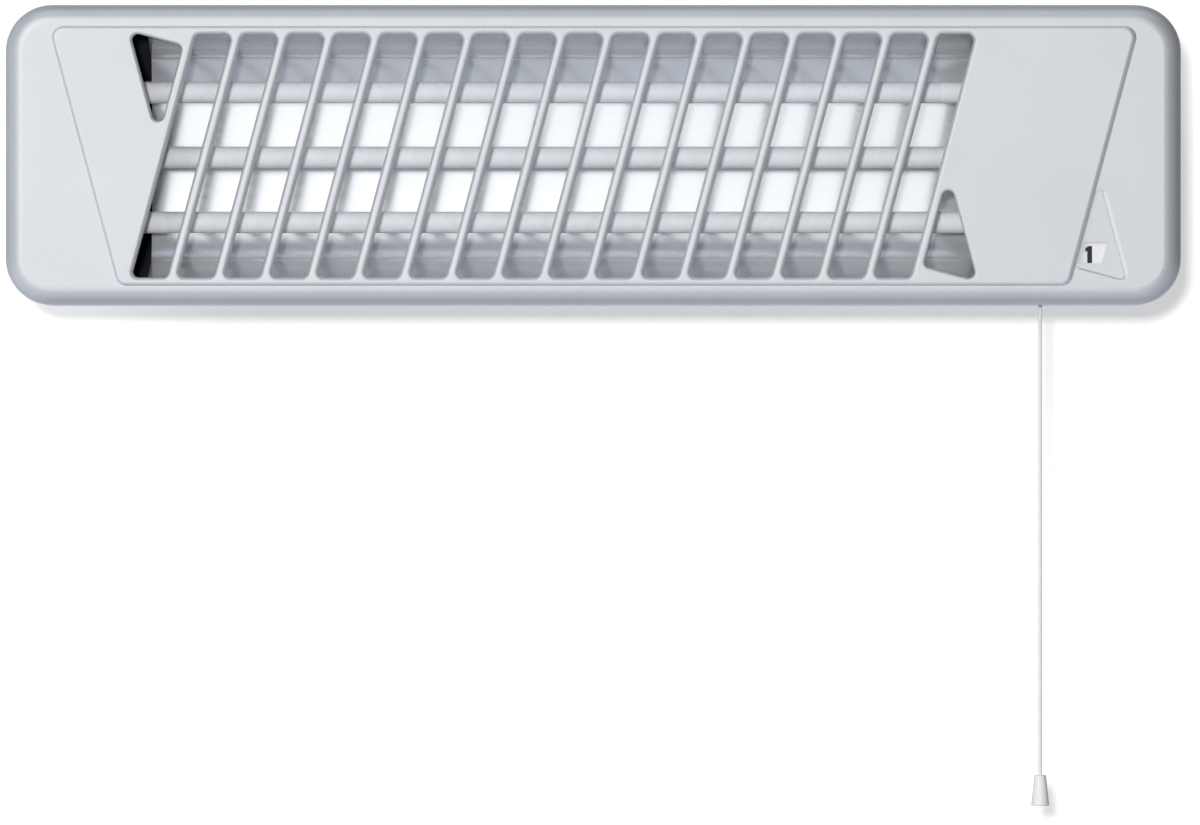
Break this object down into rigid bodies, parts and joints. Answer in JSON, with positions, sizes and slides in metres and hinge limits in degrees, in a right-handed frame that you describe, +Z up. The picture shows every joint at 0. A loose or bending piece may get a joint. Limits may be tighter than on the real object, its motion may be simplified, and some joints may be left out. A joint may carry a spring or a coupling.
{
  "type": "quartz heater",
  "caption": "Wall-mounted quartz heater: long silver head with a slanted-bar grille over milky tubes and a mirror, tilting on a steel bracket, with a pull-cord switch.",
  "frame": {"origin": "centre of the wall bracket's back face, between its two screw holes", "axes": "+Y into the wall, +Z up, +X along the head to the right as seen from the room; the heater faces -Y"},
  "size_m": [0.456, 0.125, 0.3112],
  "materials": {
    "silver_paint": "fine silver metallic paint, satin",
    "housing_steel": "silver-grey paint, satin",
    "bracket_steel": "zinc plated",
    "fixing_steel": "zinc plated",
    "mirror_aluminium": "polished",
    "dark_steel": "heat-darkened",
    "milky_quartz": "milky, satin",
    "coil_wire": "oxidised",
    "ceramic": "unglazed ceramic, matt",
    "brass": "plain",
    "black_rubber": "matt",
    "brown_bakelite": "moulded",
    "ivory_plastic": "moulded",
    "grey_plastic": "moulded",
    "lead_sleeve": "silicone sleeve",
    "clear_plastic": "clear",
    "dial_white": "moulded",
    "digit_black": "printed",
    "white_nylon": "moulded",
    "cord_white": "braided",
    "knob_plastic": "translucent moulded"
  },
  "bodies": {
    "wall_mount": {"wall_bracket": "bracket_steel", "pivot_bolts": "fixing_steel", "pivot_washers": "brass", "pivot_nuts": "fixing_steel"},
    "heater_head": {"front_frame": "silver_paint", "grille_panel": "silver_paint", "panel_clips": "fixing_steel", "rear_housing": "housing_steel", "housing_seal": "black_rubber", "case_screws": "fixing_steel", "hinge_lugs": "bracket_steel", "lug_rivets": "fixing_steel", "reflector": "mirror_aluminium", "reflector_supports": "bracket_steel", "left_end_plate": "dark_steel", "right_end_plate": "dark_steel", "end_plate_rivets": "fixing_steel", "quartz_tube_top": "milky_quartz", "quartz_tube_middle": "milky_quartz", "quartz_tube_bottom": "milky_quartz", "heating_coils": "coil_wire", "ceramic_caps": "ceramic", "tube_clips": "fixing_steel", "element_terminals": "fixing_steel", "thermal_cutout": "brown_bakelite", "terminal_block": "ivory_plastic", "terminal_screws": "brass", "cable_grommet": "black_rubber", "earth_screw": "brass", "internal_leads": "lead_sleeve", "window_lens": "clear_plastic", "switch_body": "grey_plastic", "switch_screws": "fixing_steel", "switch_terminals": "brass", "cord_bush": "white_nylon", "return_spring": "fixing_steel"},
    "lever": {"switch_lever": "fixing_steel", "drive_pawl": "fixing_steel"},
    "dial": {"indicator_dial": "dial_white", "dial_digits": "digit_black", "switch_shaft": "fixing_steel", "contact_rotor": "brown_bakelite", "ratchet_wheel": "white_nylon", "shaft_clip": "fixing_steel"},
    "cord_slide": {"cord_ferrule": "brass", "pull_cord_inner": "cord_white", "spring_collar": "brass"},
    "hanging_cord": {"pull_cord": "cord_white", "cord_knot": "cord_white", "pull_knob": "knob_plastic"}
  },
  "joints": [
    {"name": "head_tilt", "type": "hinge", "parent": "wall_mount", "child": "heater_head", "pos_m": [0, -0.025, 0], "axis": [1, 0, 0], "range_deg": [0, 40]},
    {"name": "cord_pull", "type": "slide", "parent": "heater_head", "child": "cord_slide", "axis": [0, 0, -1], "range_m": [0, 0.008], "stiffness_N_per_m": 500, "springref_m": -0.004, "deforming": ["return_spring"]},
    {"name": "lever_turn", "type": "hinge", "parent": "heater_head", "child": "lever", "pos_m": [0.1924, -0.102, -0.0247], "axis": [0, -1, 0], "range_deg": [0, 26]},
    {"name": "dial_turn", "type": "hinge", "parent": "heater_head", "child": "dial", "pos_m": [0.1924, -0.11, -0.0247], "axis": [0, 1, 0], "continuous": true},
    {"name": "cord_swing", "type": "hinge", "parent": "cord_slide", "child": "hanging_cord", "pos_m": [0.174, -0.102, -0.0594], "axis": [1, 0, 0], "range_deg": [-45, 20]}
  ],
  "couplings": [
    {"joint": "lever_turn", "follows": "cord_pull", "rad_per_m": 53.5}
  ]
}
